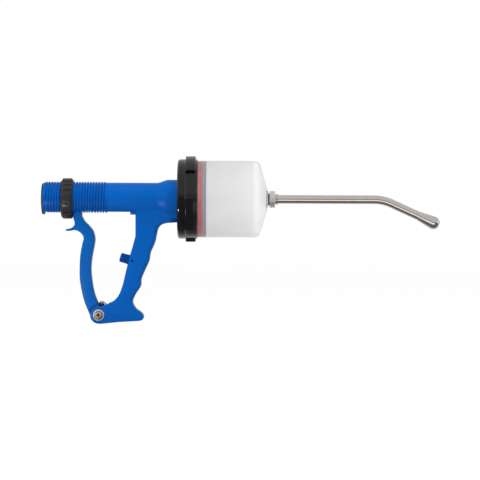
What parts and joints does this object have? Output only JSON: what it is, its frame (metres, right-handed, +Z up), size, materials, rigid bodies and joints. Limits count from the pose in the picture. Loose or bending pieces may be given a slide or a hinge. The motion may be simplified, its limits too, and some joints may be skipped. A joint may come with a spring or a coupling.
{
  "type": "livestock drencher",
  "caption": "Hand-held livestock drencher with a squeeze lever, pistol grip, dose ring on a threaded body, clear barrel with piston and a bent metal nozzle.",
  "frame": {"origin": "centre of the rear cap's outer face, on the barrel axis", "axes": "+X along the barrel axis towards the nozzle, +Y across the grip, +Z up, away from the grip"},
  "size_m": [0.3976, 0.086, 0.1683],
  "materials": {
    "blue_body": "satin moulded",
    "blue_lever": "satin moulded",
    "blue_dark": "satin moulded",
    "blue_plate": "matte",
    "black_plastic": "satin",
    "black_gloss": "gloss",
    "black_rubber": "matte",
    "red_seal": "satin",
    "clear_barrel": "frosted translucent",
    "white_plastic": "matte",
    "zinc_steel": "satin",
    "spring_steel": "drawn",
    "nozzle_steel": "polished",
    "ball_steel": "polished",
    "brass": "machined"
  },
  "bodies": {
    "frame": {"main_body": "blue_body", "rear_cap": "black_plastic", "front_plate": "black_plastic", "lock_ring": "black_gloss", "barrel": "clear_barrel", "barrel_gasket": "black_rubber", "pivot_screw": "zinc_steel", "pivot_nut": "zinc_steel", "pivot_washers": "zinc_steel", "pivot_spacer": "zinc_steel", "lever_spring": "spring_steel", "stop_pin": "blue_dark", "nozzle_seal": "black_rubber", "nozzle_adapter": "nozzle_steel", "nozzle_ferrule": "nozzle_steel", "nozzle_tube": "nozzle_steel", "nozzle_tip": "nozzle_steel", "outlet_spring": "spring_steel", "outlet_retainer": "brass"},
    "lever_group": {"lever": "blue_lever", "drive_pins": "zinc_steel"},
    "piston_group": {"piston_rod": "ball_steel", "crosshead": "white_plastic", "hose_spigot": "white_plastic", "valve_hub": "white_plastic", "piston_rear_plate": "blue_plate", "piston_seal": "red_seal", "piston_front_plate": "blue_plate", "piston_nut": "brass", "inlet_spring": "spring_steel", "inlet_retainer": "brass"},
    "inlet_ball_body": {"inlet_ball": "ball_steel"},
    "outlet_ball_body": {"outlet_ball": "ball_steel"},
    "ring_seal_body": {"ring_seal": "black_rubber"},
    "dose_ring_body": {"dose_ring": "black_plastic"},
    "stop_screw_body": {"stop_screw": "zinc_steel"},
    "stop_knob_body": {"stop_knob": "blue_dark"}
  },
  "joints": [
    {"name": "lever_pivot", "type": "hinge", "parent": "frame", "child": "lever_group", "pos_m": [0.0576, 0, -0.1161], "axis": [0, 1, 0], "range_deg": [0, 23], "stiffness_Nm_per_rad": 1.5, "springref_deg": -20.05, "deforming": ["lever_spring"]},
    {"name": "piston_slide", "type": "slide", "parent": "frame", "child": "piston_group", "axis": [1, 0, 0], "range_m": [0, 0.0471]},
    {"name": "inlet_lift", "type": "slide", "parent": "piston_group", "child": "inlet_ball_body", "axis": [1, 0, 0], "range_m": [0, 0.0015], "stiffness_N_per_m": 40, "springref_m": -0.001, "deforming": ["inlet_spring"]},
    {"name": "outlet_lift", "type": "slide", "parent": "frame", "child": "outlet_ball_body", "axis": [1, 0, 0], "range_m": [0, 0.0015], "stiffness_N_per_m": 40, "springref_m": -0.001, "deforming": ["outlet_spring"]},
    {"name": "dose_ring_travel", "type": "slide", "parent": "frame", "child": "ring_seal_body", "axis": [1, 0, 0], "range_m": [-0.01656, 0]},
    {"name": "dose_ring_turn", "type": "hinge", "parent": "ring_seal_body", "child": "dose_ring_body", "pos_m": [0.026, 0, 0], "axis": [1, 0, 0], "range_deg": [-2161, 0]},
    {"name": "stop_travel", "type": "slide", "parent": "frame", "child": "stop_screw_body", "axis": [0.9588, 0, -0.284], "range_m": [-0.0015, 0]},
    {"name": "stop_turn", "type": "hinge", "parent": "stop_screw_body", "child": "stop_knob_body", "pos_m": [0.08676, 0, -0.06089], "axis": [0.9588, 0, -0.284], "range_deg": [-181, 0]}
  ],
  "couplings": [
    {"joint": "piston_slide", "follows": "lever_pivot", "m_per_rad": 0.11724},
    {"joint": "dose_ring_turn", "follows": "dose_ring_travel", "rad_per_m": 2276.5},
    {"joint": "stop_turn", "follows": "stop_travel", "rad_per_m": 2094.4}
  ]
}
